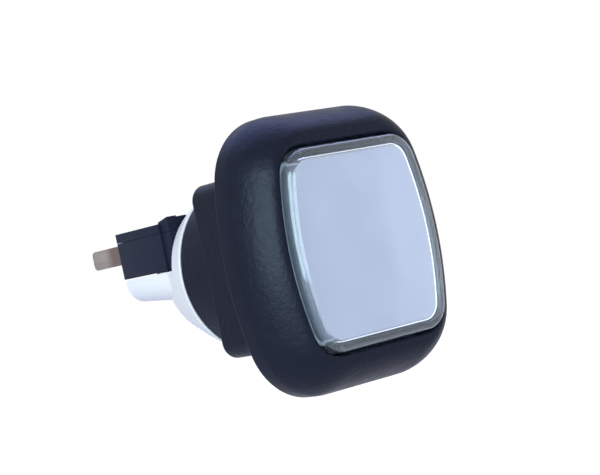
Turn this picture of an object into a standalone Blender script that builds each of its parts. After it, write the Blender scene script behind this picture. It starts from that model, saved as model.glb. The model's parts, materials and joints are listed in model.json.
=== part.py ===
"""Illuminated push button for a panel.

A clear lens cap over a white legend stands in a pillow-shaped bezel. Pressing it slides a hollow
plunger, whose leg swings the lever of a small snap-action switch in the white rear holder. A wedge
lamp on the same axis lights the legend through the plunger's light tube.

Lengths are in millimetres. X is to the right seen from the front, Y runs from the lens towards the
terminals and Z is up. The origin is on the button's axis in the plane where the bezel meets the panel.
"""
import math

import bmesh
import bpy
from mathutils import Matrix, Vector

MM = 0.001

# Legend and lens, seen from the front: flat top and bottom, bowed sides
LEGEND_WIDTH = 22.54
LEGEND_HEIGHT = 23.84
LEGEND_CORNER = 2.4
LEAST_CORNER = 0.3
SIDE_BOW_RADIUS = 43.55
LEGEND_GAP = 0.45
LENS_WALL = 1.15
LENS_FRONT = 1.05
LENS_STAND = 1.35
LENS_EDGE = 1.1
LENS_INNER_EDGE = 0.8
LEGEND_THICKNESS = 0.4
DIFFUSER_THICKNESS = 1.2
LENS_SHORT = 0.8

# Bezel
BEZEL_WIDTH = 34.8
BEZEL_HEIGHT = 37.6
BEZEL_DEPTH = 8.7
BEZEL_CORNER = 9.5
BROW_INWARD = 3.9
BROW_DEEP = 6.5
BROW_POWER = 1.55
REAR_EDGE = 0.4
LENS_GAP = 0.3
LIP_ROUND = 0.4
POCKET_FLOOR = 1.4

# Body and barrel behind the panel
BODY_WIDTH = 24.0
BODY_CORNER = 2.4
BODY_LENGTH = 10.5
BODY_EDGE = 0.5
BODY_WALL = 1.5
CAVITY_CORNER = 1.9
BARREL_RADIUS = 11.9
BARREL_LENGTH = 5.4
BARREL_EDGE = 0.2
BARREL_WALL = 1.6
WEB_THICKNESS = 1.6

# Plunger
TRAVEL = 2.5
STOP_GAP = 0.15
TRAY_WALL = 1.2
TRAY_SHELF = 1.4
REFLECTOR_FRONT = 15.2
REFLECTOR_REAR = 12.0
GUIDE_WALL = 1.2
GUIDE_SHORT = 1.9
PLUNGER_FLOOR = 0.9
FLOOR_THICKNESS = 1.2
TUBE_RADIUS = 4.1
TUBE_WALL = 0.8
TUBE_SHORT = 0.95
LEG_SIZE = 1.7
LEG_X = 4.7
HOOK_WIDTH = 2.4
HOOK_INNER = 7.2
HOOK_THICKNESS = 1.05
HOOK_BARB = 0.55
HOOK_BARB_LENGTH = 1.3
HOOK_BARB_FLAT = 0.4

# Return spring
SPRING_RADIUS = 4.85
SPRING_WIRE = 0.55
SPRING_TURNS = 5.5
CLOSED_TURNS = 0.75
CLOSED_PITCH = 0.58

# Rear holder
SPIGOT_LENGTH = 3.9
SPIGOT_WALL = 0.9
CONE_FRONT_RADIUS = 12.0
RING_SLOPE = 0.39
RING_LENGTH = 3.6
CONE_SLOPE = 0.47
CONE_LENGTH = 7.7
HOLDER_FLOOR = 3.3
BLOCK_WIDTH = 19.6
BLOCK_TOP = 1.5
BLOCK_BOTTOM_FRONT = -2.8
BLOCK_BOTTOM_REAR = -2.0
BLOCK_CORNER = 2.9
BLOCK_ROOT = 2.0
BLOCK_LENGTH = 15.75
BLOCK_EDGE = 0.25
PEG_RADIUS = 1.1
PEG_SPACING = 9.5
PEG_FROM_REAR = 2.9
PEG_BELOW_COVER = 0.3

# Snap-action switch
SWITCH_WIDTH = 19.8
SWITCH_DEPTH = 10.4
SWITCH_THICKNESS = 6.65
SWITCH_LIFT = 0.2
COVER_THICKNESS = 1.3
CASE_WALL = 1.3
CASE_FLOOR = 1.2
CASE_SEAM = 0.05
CASE_CAVITY_DEPTH = 3.9
SHOULDER_LENGTH = 1.7
SHOULDER_WIDTH = 1.7
SHOULDER_INSET = 0.45
SHOULDER_STEP = 0.25
SHOULDER_RISE = 0.75
TAB_THICKNESS = 0.5
TAB_WIDTH = 2.8
TAB_LENGTH = 9.0
TAB_LIFT = 0.3
TAB_ROUND = 0.7
COMMON_X = -8.0
MIDDLE_X = 0.0
OPEN_X = 8.0
LEVER_THICKNESS = 0.3
LEVER_WIDTH = 2.8
LEVER_PIVOT_X = -6.6
LEVER_STANDOFF = 0.75
LEVER_PAST_LEG = 1.0
CURL_RADIUS = 0.45
TRUNNION_RADIUS = 0.3
LUG_THICKNESS = 0.9
LUG_MARGIN = 0.45
LUG_NOSE = 0.2
LUG_RISE = 0.6
BUTTON_X = -2.5
BUTTON_SIZE = 1.6
BUTTON_STAND = 1.2
BUTTON_FOOT = 0.4
BUTTON_FLANGE = 0.4
BLADE_THICKNESS = 0.2
BLADE_WIDTH = 2.3
BLADE_WINDOW = 1.15
BLADE_ROOT_X = -7.45
BLADE_TIP_X = 6.9
BLADE_FROM_WALL = 1.7
PAD_RADIUS = 0.7
PAD_HEIGHT = 0.55
CONTACT_GAP = 0.5
CONTACT_WIDTH = 1.6
CONTACT_INSET = 0.2
RISER_LENGTH = 2.0
STRIP = 0.45

# Wedge lamp and its contacts
LAMP_Z = -0.35
LAMP_RADIUS = 2.5
LAMP_EDGE = 0.2
DOME_RADIUS = 2.4
COLLAR_LENGTH = 3.6
DOME_LENGTH = 5.6
WEDGE_WIDTH = 4.2
WEDGE_THICKNESS = 1.7
WEDGE_LENGTH = 7.6
LEAD_RADIUS = 0.18
LEAD_RUN = 6.0
LEAD_HOLE_X = 1.05
CONTACT_THICKNESS = 0.4
CONTACT_HEIGHT = 1.8
CONTACT_TAB = 5.2

# Clearances between pieces
SLIDE_GAP = 0.3
FIT = 0.15
SEAT = 0.15
TUBE_GAP = 0.4
TRAY_GAP = 0.15

# How far a cutter runs past what it cuts, a joined form sinks into what carries it, and a face
# stands off one that it would otherwise lie in
OVERCUT = 1.0
ROOT = 0.5
OFFSET = 0.05

# Facets
SIDE_STEPS = 5
CORNER_STEPS = 6
BROW_STEPS = 9
EDGE_STEPS = 3
DOME_STEPS = 5
TAB_STEPS = 4
SPRING_STEPS = 14
ROUND = 64
SMALL_ROUND = 24
TINY_ROUND = 14

PARTS = "illuminated_push_button"
CUTTERS = "cutters"


def clear_scene():
    for obj in list(bpy.data.objects):
        bpy.data.objects.remove(obj, do_unlink=True)
    for coll in list(bpy.data.collections):
        bpy.data.collections.remove(coll)


def make_collection(name):
    coll = bpy.data.collections.new(name)
    bpy.context.scene.collection.children.link(coll)
    return coll


def make_material(name, colour, roughness, metallic=0.0, transmission=0.0):
    mat = bpy.data.materials.new(name)
    mat.use_nodes = True
    shader = mat.node_tree.nodes["Principled BSDF"]
    shader.inputs["Base Color"].default_value = (*colour, 1.0)
    shader.inputs["Roughness"].default_value = roughness
    shader.inputs["Metallic"].default_value = metallic
    shader.inputs["Transmission Weight"].default_value = transmission
    mat.diffuse_color = (*colour, 1.0)
    return mat


def add_object(name, mesh, material):
    obj = bpy.data.objects.new(name, mesh)
    bpy.data.collections[PARTS if material else CUTTERS].objects.link(obj)
    if material:
        mesh.materials.append(material)
        mesh.shade_smooth()
        mesh.set_sharp_from_angle(angle=math.radians(35))
    else:
        obj.hide_render = True
        obj.display_type = "WIRE"
    return obj


def finish_mesh(name, bm, material):
    bmesh.ops.recalc_face_normals(bm, faces=bm.faces)
    mesh = bpy.data.meshes.new(name)
    bm.to_mesh(mesh)
    bm.free()
    return add_object(name, mesh, material)


def box(name, low, high, material=None):
    """Box between two corners. A solid with a material is a part, one without is a cutter or guide."""
    low, high = Vector(low) * MM, Vector(high) * MM
    bm = bmesh.new()
    size = high - low
    place = Matrix.Translation((low + high) / 2) @ Matrix.Diagonal((*size, 1.0))
    bmesh.ops.create_cube(bm, size=1.0, matrix=place)
    return finish_mesh(name, bm, material)


def rod(name, radius, start, end, material=None, sides=SMALL_ROUND):
    """Cylinder between two points."""
    start, end = Vector(start) * MM, Vector(end) * MM
    run = end - start
    turn = run.to_track_quat("Z", "Y").to_matrix().to_4x4()
    bm = bmesh.new()
    bmesh.ops.create_cone(
        bm, cap_ends=True, segments=sides, radius1=radius * MM, radius2=radius * MM,
        depth=run.length, matrix=Matrix.Translation((start + end) / 2) @ turn,
    )
    return finish_mesh(name, bm, material)


def turned(name, profile, material=None, steps=ROUND, centre=(0.0, 0.0)):
    """Solid of revolution about the Y direction; the profile is (radius, y), rear end first."""
    mesh = bpy.data.meshes.new(name)
    points = [(radius * MM, 0.0, y * MM) for radius, y in profile]
    mesh.from_pydata(points, [(i, i + 1) for i in range(len(points) - 1)], [])
    obj = add_object(name, mesh, material)
    obj.rotation_euler = (-math.pi / 2, 0.0, 0.0)
    obj.location = (centre[0] * MM, 0.0, centre[1] * MM)
    screw = obj.modifiers.new("turn", "SCREW")
    screw.axis = "Z"
    screw.steps = steps
    screw.render_steps = steps
    screw.use_merge_vertices = True
    screw.merge_threshold = 0.00001
    return obj


def bowed_outline(width, height, corner, side_radius, y):
    """Ring at depth y with straight top and bottom, bowed sides and round corners."""
    side_x = width / 2 - side_radius
    corner_z = height / 2 - corner
    corner_x = side_x + math.sqrt((side_radius - corner) ** 2 - corner_z**2)
    turn = math.atan2(corner_z, corner_x - side_x)
    quarter = []
    for i in range(SIDE_STEPS):
        a = turn * i / SIDE_STEPS
        quarter.append((side_x + side_radius * math.cos(a), side_radius * math.sin(a)))
    for i in range(CORNER_STEPS + 1):
        a = turn + (math.pi / 2 - turn) * i / CORNER_STEPS
        quarter.append((corner_x + corner * math.cos(a), corner_z + corner * math.sin(a)))
    left = [(-x, z) for x, z in reversed(quarter)]
    lower_left = [(-x, -z) for x, z in quarter[1:]]
    lower_right = [(x, -z) for x, z in reversed(quarter[1:])]
    return [(x, y, z) for x, z in quarter + left + lower_left + lower_right]


def face_ring(y, grow=0.0):
    """The legend's outline, grown outwards by an equal margin all round."""
    return bowed_outline(
        LEGEND_WIDTH + 2 * grow, LEGEND_HEIGHT + 2 * grow, max(LEGEND_CORNER + grow, LEAST_CORNER),
        SIDE_BOW_RADIUS + grow, y,
    )


def bezel_ring(y, inward=0.0):
    """The bezel's outline, drawn in from its widest section by an equal margin all round."""
    side_radius = SIDE_BOW_RADIUS + (BEZEL_WIDTH - LEGEND_WIDTH) / 2
    return bowed_outline(
        BEZEL_WIDTH - 2 * inward, BEZEL_HEIGHT - 2 * inward, BEZEL_CORNER - inward,
        side_radius - inward, y,
    )


def square_ring(width, corner, y):
    """Square outline with round corners, as a ring at depth y."""
    half = width / 2 - corner
    ring = []
    for quadrant in range(4):
        start = quadrant * math.pi / 2
        cx = half * (1 if quadrant in (0, 3) else -1)
        cz = half * (1 if quadrant in (0, 1) else -1)
        for i in range(CORNER_STEPS + 1):
            a = start + math.pi / 2 * i / CORNER_STEPS
            ring.append((cx + corner * math.cos(a), y, cz + corner * math.sin(a)))
    return ring


def loft(name, rings, material=None):
    """Solid through equal rings, closed at both ends."""
    bm = bmesh.new()
    loops = [[bm.verts.new(Vector(p) * MM) for p in ring] for ring in rings]
    bm.faces.new(loops[0])
    bm.faces.new(loops[-1])
    count = len(loops[0])
    for near, far in zip(loops, loops[1:]):
        for i in range(count):
            j = (i + 1) % count
            bm.faces.new((near[i], near[j], far[j], far[i]))
    return finish_mesh(name, bm, material)


def prism(name, outline, low, high):
    """Guide or cutter with an outline in X and Y, between two heights."""
    return loft(name, [[(x, y, z) for x, y in outline] for z in (low, high)])


def rounding(radius, steps=EDGE_STEPS):
    """Quarter round between a side and an end, as distances from the end and from the side."""
    turns = [math.pi / 2 * i / steps for i in range(steps + 1)]
    return [(radius * (1 - math.sin(a)), radius * (1 - math.cos(a))) for a in turns]


def join(obj, *others):
    for other in others:
        union = obj.modifiers.new("join " + other.name, "BOOLEAN")
        union.operation = "UNION"
        union.object = other


def cut(obj, *others):
    for other in others:
        difference = obj.modifiers.new("cut " + other.name, "BOOLEAN")
        difference.operation = "DIFFERENCE"
        difference.object = other


def pivot(name, x=0.0, y=0.0, z=0.0):
    """Empty on a joint's axis, which carries the pieces that move about it."""
    empty = bpy.data.objects.new(name, None)
    empty.location = Vector((x, y, z)) * MM
    empty.empty_display_size = 3 * MM
    bpy.data.collections[PARTS].objects.link(empty)
    return empty


def carry(empty, *objects):
    """Parent the objects to the empty, with each where it was made."""
    bpy.context.view_layer.update()
    for obj in objects:
        obj.parent = empty
        obj.matrix_parent_inverse = empty.matrix_world.inverted()


# Depths that follow from the sizes above
LENS_FACE_Y = -BEZEL_DEPTH - LENS_STAND
LENS_INNER_Y = LENS_FACE_Y + LENS_FRONT
LEGEND_Y = LENS_INNER_Y + FIT
LENS_MARGIN = LEGEND_GAP + LENS_WALL
DIFFUSER_Y = LEGEND_Y + LEGEND_THICKNESS + FIT
TRAY_Y = DIFFUSER_Y + DIFFUSER_THICKNESS + FIT
TRAY_GROW = LEGEND_GAP - TRAY_GAP
TRAY_END = -POCKET_FLOOR - TRAVEL - STOP_GAP
SHELF_Y = TRAY_END - TRAY_SHELF
LENS_SKIRT_END = TRAY_END - LENS_SHORT
CAVITY_WIDTH = BODY_WIDTH - 2 * BODY_WALL
WEB_Y = BODY_LENGTH - WEB_THICKNESS
BARREL_END = BODY_LENGTH + BARREL_LENGTH
GUIDE_END = WEB_Y - TRAVEL - GUIDE_SHORT
BORE_RADIUS = BARREL_RADIUS - BARREL_WALL
GUIDE_WIDTH = CAVITY_WIDTH - 2 * SLIDE_GAP
SPIGOT_RADIUS = BORE_RADIUS - SLIDE_GAP
SPIGOT_BORE = SPIGOT_RADIUS - SPIGOT_WALL
RING_Y = BARREL_END + SEAT
RING_END = RING_Y + RING_LENGTH
CONE_END = RING_Y + CONE_LENGTH
RING_REAR_RADIUS = CONE_FRONT_RADIUS - RING_SLOPE * RING_LENGTH
CONE_REAR_RADIUS = RING_REAR_RADIUS - CONE_SLOPE * (CONE_LENGTH - RING_LENGTH)
HOLDER_FLOOR_Y = RING_Y + HOLDER_FLOOR
LAMP_SEAT_Y = HOLDER_FLOOR_Y - SLIDE_GAP
LAMP_FRONT_Y = LAMP_SEAT_Y - COLLAR_LENGTH
WEDGE_END = LAMP_SEAT_Y + WEDGE_LENGTH
TUBE_END = LAMP_FRONT_Y - TRAVEL - TUBE_SHORT
BLOCK_END = RING_Y + BLOCK_LENGTH
SWITCH_REAR = BLOCK_END
SWITCH_FRONT = SWITCH_REAR - SWITCH_DEPTH
SWITCH_LOW = BLOCK_TOP + SWITCH_LIFT
SWITCH_HIGH = SWITCH_LOW + SWITCH_THICKNESS
SWITCH_MID = (SWITCH_LOW + SWITCH_HIGH) / 2
COVER_LOW = SWITCH_HIGH - COVER_THICKNESS
TAB_LOW = SWITCH_MID - TAB_WIDTH / 2 + TAB_LIFT
TAB_HIGH = TAB_LOW + TAB_WIDTH
CAVITY_Y = SWITCH_FRONT + CASE_WALL
BLADE_Y = CAVITY_Y + BLADE_FROM_WALL
LEVER_PIVOT_Y = SWITCH_FRONT - LEVER_STANDOFF
PEG_Y = SWITCH_REAR - PEG_FROM_REAR
LEVER_REACH = LEG_X - LEVER_PIVOT_X
LEVER_ANGLE = math.atan(TRAVEL / LEVER_REACH)
LEVER_TOUCH_Y = (
    LEVER_PIVOT_Y - LEVER_REACH * math.tan(LEVER_ANGLE) - LEVER_THICKNESS / 2 / math.cos(LEVER_ANGLE)
)
LEG_END = LEVER_TOUCH_Y - SEAT - LEG_SIZE / 2 * math.tan(LEVER_ANGLE)


def build_housing(material):
    """Bezel, square body and barrel in one moulding, open from the front to the rear."""
    rings = []
    for i in range(BROW_STEPS + 1):
        a = math.pi / 2 * i / BROW_STEPS
        inward = BROW_INWARD * (1 - math.sin(a) ** (2 / BROW_POWER))
        back = BROW_DEEP * (1 - max(math.cos(a), 0.0) ** (2 / BROW_POWER))
        rings.append(bezel_ring(-BEZEL_DEPTH + back, inward))
    rings += [bezel_ring(-along, inward) for along, inward in rounding(REAR_EDGE)]
    housing = loft("bezel_housing", rings, material)
    body = loft("body_guide", [square_ring(BODY_WIDTH, BODY_CORNER, -ROOT)] + [
        square_ring(BODY_WIDTH - 2 * inward, BODY_CORNER - inward, BODY_LENGTH - along)
        for along, inward in rounding(BODY_EDGE)])
    barrel = turned("barrel_guide", [
        (0.0, BARREL_END), (BARREL_RADIUS - BARREL_EDGE, BARREL_END),
        (BARREL_RADIUS, BARREL_END - BARREL_EDGE), (BARREL_RADIUS, WEB_Y), (0.0, WEB_Y),
    ])
    grow = LENS_MARGIN + LENS_GAP
    pocket_rings = [face_ring(-POCKET_FLOOR, grow)]
    pocket_rings += [face_ring(-BEZEL_DEPTH + along, grow + flare) for along, flare in rounding(LIP_ROUND)]
    pocket_rings.append(face_ring(-BEZEL_DEPTH - OVERCUT, grow + LIP_ROUND))
    pocket = loft("pocket_cutter", pocket_rings)
    cavity = loft("cavity_cutter", [
        square_ring(CAVITY_WIDTH, CAVITY_CORNER, -POCKET_FLOOR - OVERCUT),
        square_ring(CAVITY_WIDTH, CAVITY_CORNER, WEB_Y),
    ])
    bore = rod("bore_cutter", BORE_RADIUS, (0, BODY_LENGTH, 0), (0, BARREL_END + OVERCUT, 0), sides=ROUND)
    tube_hole = rod("tube_hole_cutter", TUBE_RADIUS + TUBE_GAP,
                    (0, WEB_Y - OVERCUT, 0), (0, BODY_LENGTH + OVERCUT, 0), sides=SMALL_ROUND * 2)
    half = LEG_SIZE / 2 + SLIDE_GAP
    leg_slot = box("leg_slot_cutter", (LEG_X - half, WEB_Y - OVERCUT, SWITCH_MID - half),
                   (LEG_X + half, BODY_LENGTH + OVERCUT, SWITCH_MID + half))
    join(housing, body, barrel)
    cut(housing, pocket, cavity, bore, tube_hole, leg_slot)
    for side, sign in (("left", -1), ("right", 1)):
        inner = HOOK_INNER - SLIDE_GAP
        outer = HOOK_INNER + HOOK_THICKNESS + FIT
        near, far = sorted((sign * inner, sign * outer))
        half = HOOK_WIDTH / 2 + SLIDE_GAP
        cut(housing, box("hook_slot_cutter_" + side, (near, WEB_Y - OVERCUT, -half),
                         (far, BODY_LENGTH + OVERCUT, half)))
    return housing


def build_lens(material):
    """Clear cap with a plain skirt, open at the rear."""
    rings = [face_ring(LENS_SKIRT_END, LENS_MARGIN)]
    rings += [face_ring(LENS_FACE_Y + along, LENS_MARGIN - inward)
              for along, inward in rounding(LENS_EDGE)]
    lens = loft("lens_cap", rings, material)
    hollow_rings = [face_ring(LENS_SKIRT_END + OVERCUT, LEGEND_GAP)]
    hollow_rings += [face_ring(LENS_INNER_Y + along, LEGEND_GAP - inward)
                     for along, inward in rounding(LENS_INNER_EDGE)]
    cut(lens, loft("lens_cutter", hollow_rings))
    return lens


def build_legend(material):
    return loft("legend_sheet", [face_ring(LEGEND_Y), face_ring(LEGEND_Y + LEGEND_THICKNESS)], material)


def build_diffuser(material):
    return loft("diffuser_plate",
                [face_ring(DIFFUSER_Y), face_ring(DIFFUSER_Y + DIFFUSER_THICKNESS)], material)


def build_plunger(material):
    """Tray for the lens, square guide, light tube, switch leg and two snap hooks in one moulding."""
    plunger = loft("plunger", [face_ring(TRAY_Y, TRAY_GROW), face_ring(TRAY_END, TRAY_GROW)], material)
    corner = CAVITY_CORNER - SLIDE_GAP
    guide = loft("guide_guide", [
        square_ring(GUIDE_WIDTH, corner, TRAY_END - ROOT), square_ring(GUIDE_WIDTH, corner, GUIDE_END)])
    tray_hollow = loft("tray_cutter", [
        face_ring(TRAY_Y - OVERCUT, TRAY_GROW - TRAY_WALL), face_ring(SHELF_Y, TRAY_GROW - TRAY_WALL)])
    reflector = loft("reflector_cutter", [
        square_ring(REFLECTOR_FRONT, corner, SHELF_Y - OVERCUT),
        square_ring(REFLECTOR_REAR, corner, PLUNGER_FLOOR - FLOOR_THICKNESS)])
    inside = GUIDE_WIDTH - 2 * GUIDE_WALL
    underside = loft("underside_cutter", [
        square_ring(inside, corner, PLUNGER_FLOOR), square_ring(inside, corner, GUIDE_END + OVERCUT)])
    tube = rod("tube_guide", TUBE_RADIUS, (0, PLUNGER_FLOOR - ROOT, 0), (0, TUBE_END, 0),
               sides=SMALL_ROUND * 2)
    tube_bore = rod("tube_bore_cutter", TUBE_RADIUS - TUBE_WALL,
                    (0, PLUNGER_FLOOR - FLOOR_THICKNESS - OVERCUT, 0), (0, TUBE_END + OVERCUT, 0),
                    sides=SMALL_ROUND * 2)
    half = LEG_SIZE / 2
    leg = box("leg_guide", (LEG_X - half, PLUNGER_FLOOR - ROOT, SWITCH_MID - half),
              (LEG_X + half, LEG_END, SWITCH_MID + half))
    join(plunger, guide)
    cut(plunger, tray_hollow, reflector, underside)
    join(plunger, tube, leg)
    catch_y = BODY_LENGTH + SEAT
    hook_end = catch_y + HOOK_BARB_LENGTH
    half = HOOK_WIDTH / 2
    for side, sign in (("left", -1), ("right", 1)):
        inner, outer = sign * HOOK_INNER, sign * (HOOK_INNER + HOOK_THICKNESS)
        middle, barb = (inner + outer) / 2, outer + sign * HOOK_BARB
        join(plunger, prism("hook_guide_" + side, [
            (inner, PLUNGER_FLOOR - ROOT), (outer, PLUNGER_FLOOR - ROOT), (outer, catch_y),
            (barb, catch_y), (barb, catch_y + HOOK_BARB_FLAT), (middle, hook_end), (inner, hook_end),
        ], -half, half))
    cut(plunger, tube_bore)
    return plunger


def spring_path():
    """Compression spring with closed turns at both ends, as points on a helix."""
    front = PLUNGER_FLOOR + SEAT + SPRING_WIRE / 2
    rear = WEB_Y - SEAT - SPRING_WIRE / 2
    open_turns = SPRING_TURNS - 2 * CLOSED_TURNS
    open_pitch = (rear - front - 2 * CLOSED_TURNS * CLOSED_PITCH) / open_turns
    points = []
    for i in range(int(SPRING_TURNS * SPRING_STEPS) + 1):
        turn = i / SPRING_STEPS
        opened = min(max(turn - CLOSED_TURNS, 0.0), open_turns)
        y = front + opened * open_pitch + (turn - opened) * CLOSED_PITCH
        a = 2 * math.pi * turn
        points.append((SPRING_RADIUS * math.cos(a), y, SPRING_RADIUS * math.sin(a)))
    return points


def wire(name, points, radius, material):
    """Round wire along a polyline, as a mesh with welded caps."""
    curve = bpy.data.curves.new(name + "_path", "CURVE")
    curve.dimensions = "3D"
    curve.bevel_depth = radius * MM
    curve.bevel_resolution = 2
    curve.use_fill_caps = True
    spline = curve.splines.new("POLY")
    spline.points.add(len(points) - 1)
    for point, place in zip(spline.points, points):
        point.co = (*(Vector(place) * MM), 1.0)
    path = bpy.data.objects.new(name + "_path", curve)
    bpy.data.collections[CUTTERS].objects.link(path)
    bpy.context.view_layer.update()
    evaluated = path.evaluated_get(bpy.context.evaluated_depsgraph_get())
    mesh = bpy.data.meshes.new_from_object(evaluated)
    bpy.data.objects.remove(path)
    bm = bmesh.new()
    bm.from_mesh(mesh)
    bpy.data.meshes.remove(mesh)
    bmesh.ops.remove_doubles(bm, verts=bm.verts, dist=0.000001)
    return finish_mesh(name, bm, material)


def block_ring(y, bottom, inward=0.0):
    """Section of the holder's block: flat top, round lower corners."""
    half = BLOCK_WIDTH / 2 - inward
    corner = BLOCK_CORNER - inward
    lower = []
    for i in range(CORNER_STEPS + 1):
        a = math.pi / 2 * i / CORNER_STEPS
        lower.append((half - corner * (1 - math.cos(a)), bottom + corner * (1 - math.sin(a))))
    left = [(-x, z) for x, z in reversed(lower)]
    top = BLOCK_TOP + OVERCUT
    return [(x, y, z) for x, z in [(half, top)] + lower + left + [(-half, top)]]


def build_holder(material):
    """White holder: spigot in the barrel, cone, and a flat block that carries lamp and switch."""
    holder = turned("rear_holder", [
        (0.0, CONE_END), (CONE_REAR_RADIUS, CONE_END), (RING_REAR_RADIUS, RING_END),
        (CONE_FRONT_RADIUS, RING_Y), (SPIGOT_RADIUS, RING_Y), (SPIGOT_RADIUS, RING_Y - SPIGOT_LENGTH),
        (0.0, RING_Y - SPIGOT_LENGTH),
    ], material)
    block = loft("block_guide", [
        block_ring(CONE_END - BLOCK_ROOT, BLOCK_BOTTOM_FRONT),
        block_ring(BLOCK_END - BLOCK_EDGE, BLOCK_BOTTOM_REAR),
        block_ring(BLOCK_END, BLOCK_BOTTOM_REAR + BLOCK_EDGE, BLOCK_EDGE),
    ])
    reach = CONE_FRONT_RADIUS + OVERCUT
    pocket = box("switch_pocket_cutter", (-reach, RING_END, BLOCK_TOP), (reach, BLOCK_END + OVERCUT, reach))
    lower_bore = rod("holder_bore_cutter", SPIGOT_BORE, (0, RING_Y - SPIGOT_LENGTH - OVERCUT, 0),
                     (0, HOLDER_FLOOR_Y, 0), sides=ROUND)
    upper_bore = rod("lever_bore_cutter", SPIGOT_BORE - FIT, (0, HOLDER_FLOOR_Y - OVERCUT, 0),
                     (0, RING_END + OVERCUT, 0), sides=ROUND)
    upper_only = box("lever_bore_limit", (-CONE_FRONT_RADIUS, HOLDER_FLOOR_Y - 2 * OVERCUT, BLOCK_TOP + FIT),
                     (CONE_FRONT_RADIUS, RING_END + 2 * OVERCUT, CONE_FRONT_RADIUS))
    limit = upper_bore.modifiers.new("upper half only", "BOOLEAN")
    limit.operation = "INTERSECT"
    limit.object = upper_only
    wedge_half = contact_faces(1)[1] + FIT
    slot_low = LAMP_Z - CONTACT_HEIGHT / 2 - FIT
    slot_high = LAMP_Z + CONTACT_HEIGHT / 2 + FIT
    wedge_slot = box("wedge_slot_cutter", (-wedge_half, HOLDER_FLOOR_Y - OVERCUT, slot_low),
                     (wedge_half, WEDGE_END + 3 * FIT + 2 * LEAD_RADIUS, slot_high))
    join(holder, block)
    cut(holder, pocket, lower_bore, upper_bore, wedge_slot)
    grow = FIT - OFFSET
    for side, sign in (("left", -1), ("right", 1)):
        near, far = contact_faces(sign)
        cut(holder, box("contact_slot_cutter_" + side,
                        (near - grow, HOLDER_FLOOR_Y + OVERCUT, slot_low + OFFSET),
                        (far + grow, BLOCK_END + OVERCUT, slot_high - OFFSET)))
        peg_x = sign * PEG_SPACING / 2
        join(holder, rod("peg_guide_" + side, PEG_RADIUS, (peg_x, PEG_Y, BLOCK_TOP - ROOT),
                         (peg_x, PEG_Y, SWITCH_HIGH - PEG_BELOW_COVER)))
    return holder


def contact_faces(sign):
    """Inner and outer face of a lamp contact, lowest X first."""
    inner = WEDGE_WIDTH / 2 + 2 * FIT + 2 * LEAD_RADIUS
    return sorted((sign * inner, sign * (inner + CONTACT_THICKNESS)))


def build_lamp(plastic, clear, tin):
    """Wedge lamp with its two lead wires, and the contacts of the holder."""
    collar = turned("lamp_base", [
        (0.0, LAMP_SEAT_Y), (LAMP_RADIUS - LAMP_EDGE, LAMP_SEAT_Y),
        (LAMP_RADIUS, LAMP_SEAT_Y - LAMP_EDGE), (LAMP_RADIUS, LAMP_FRONT_Y), (0.0, LAMP_FRONT_Y),
    ], plastic, steps=SMALL_ROUND, centre=(0.0, LAMP_Z))
    wedge = box("wedge_guide", (-WEDGE_WIDTH / 2, LAMP_SEAT_Y - ROOT, LAMP_Z - WEDGE_THICKNESS / 2),
                (WEDGE_WIDTH / 2, WEDGE_END, LAMP_Z + WEDGE_THICKNESS / 2))
    join(collar, wedge)
    rear = LAMP_FRONT_Y - SEAT
    tip = rear - DOME_LENGTH
    profile = [(0.0, rear), (DOME_RADIUS, rear)]
    profile += [(max(DOME_RADIUS - inward, 0.0), tip + along)
                for along, inward in rounding(DOME_RADIUS, DOME_STEPS)]
    turned("lamp_dome", profile, clear, steps=SMALL_ROUND, centre=(0.0, LAMP_Z))
    for side, sign in (("left", -1), ("right", 1)):
        x = sign * (WEDGE_WIDTH / 2 + FIT + LEAD_RADIUS)
        fold = WEDGE_END + FIT + LEAD_RADIUS
        wire("lamp_lead_" + side, [(sign * LEAD_HOLE_X, fold, LAMP_Z), (x, fold, LAMP_Z),
                                   (x, fold - LEAD_RUN, LAMP_Z)], LEAD_RADIUS, tin)
        near, far = contact_faces(sign)
        box("lamp_contact_" + side, (near, HOLDER_FLOOR_Y + OVERCUT + FIT, LAMP_Z - CONTACT_HEIGHT / 2),
            (far, BLOCK_END + CONTACT_TAB, LAMP_Z + CONTACT_HEIGHT / 2), tin)


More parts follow.
